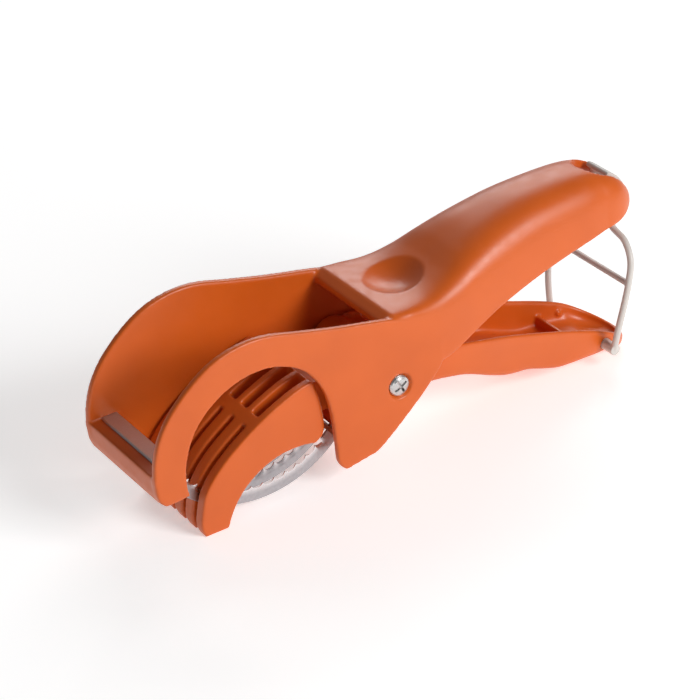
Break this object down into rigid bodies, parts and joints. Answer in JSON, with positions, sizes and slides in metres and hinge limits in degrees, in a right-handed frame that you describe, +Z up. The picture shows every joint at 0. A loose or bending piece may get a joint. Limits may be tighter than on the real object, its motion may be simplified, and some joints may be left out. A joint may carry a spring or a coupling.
{
  "type": "egg slicer",
  "caption": "Hand-held lever egg slicer: a slotted pusher swings through curved blades strung in an arched head, with a bail that latches the two handles.",
  "frame": {"origin": "centre of the bounding box in X and Y, at the level of the surface it rests on", "axes": "+X from the head towards the handle ends, +Z up, -Y towards the cheek with the arched opening"},
  "size_m": [0.2266, 0.052, 0.0822],
  "materials": {
    "orange_plastic": "satin moulded",
    "white_plastic": "satin moulded",
    "blade_steel": "rolled and stamped",
    "screw_steel": "bright turned",
    "spring_steel": "drawn wire"
  },
  "bodies": {
    "frame": {"upper_frame": "orange_plastic", "blade_1": "blade_steel", "blade_2": "blade_steel", "blade_3": "blade_steel", "blade_4": "blade_steel", "blade_5": "blade_steel", "front_strip": "blade_steel", "rear_holder": "blade_steel", "holder_screws": "screw_steel", "pivot_post": "screw_steel", "pivot_screw": "screw_steel", "near_washer": "screw_steel", "far_washer": "screw_steel"},
    "sleeve": {"pivot_sleeve": "white_plastic"},
    "lever": {"lever": "orange_plastic", "return_spring": "spring_steel"},
    "bail": {"bail": "white_plastic", "bail_pins": "white_plastic"}
  },
  "joints": [
    {"name": "press_stroke", "type": "hinge", "parent": "frame", "child": "sleeve", "pos_m": [-0.0086, 0, 0.0339], "axis": [0, -1, 0], "range_deg": [0, 18]},
    {"name": "open_stroke", "type": "hinge", "parent": "sleeve", "child": "lever", "pos_m": [-0.0086, 0, 0.0339], "axis": [0, -1, 0], "range_deg": [-38, 0]},
    {"name": "bail_swing", "type": "hinge", "parent": "lever", "child": "bail", "pos_m": [0.095, 0, 0.0086], "axis": [0, -1, 0], "range_deg": [-96, 0]}
  ],
  "couplings": [
    {"joint": "bail_swing", "follows": "press_stroke", "ratio": -5.3}
  ]
}
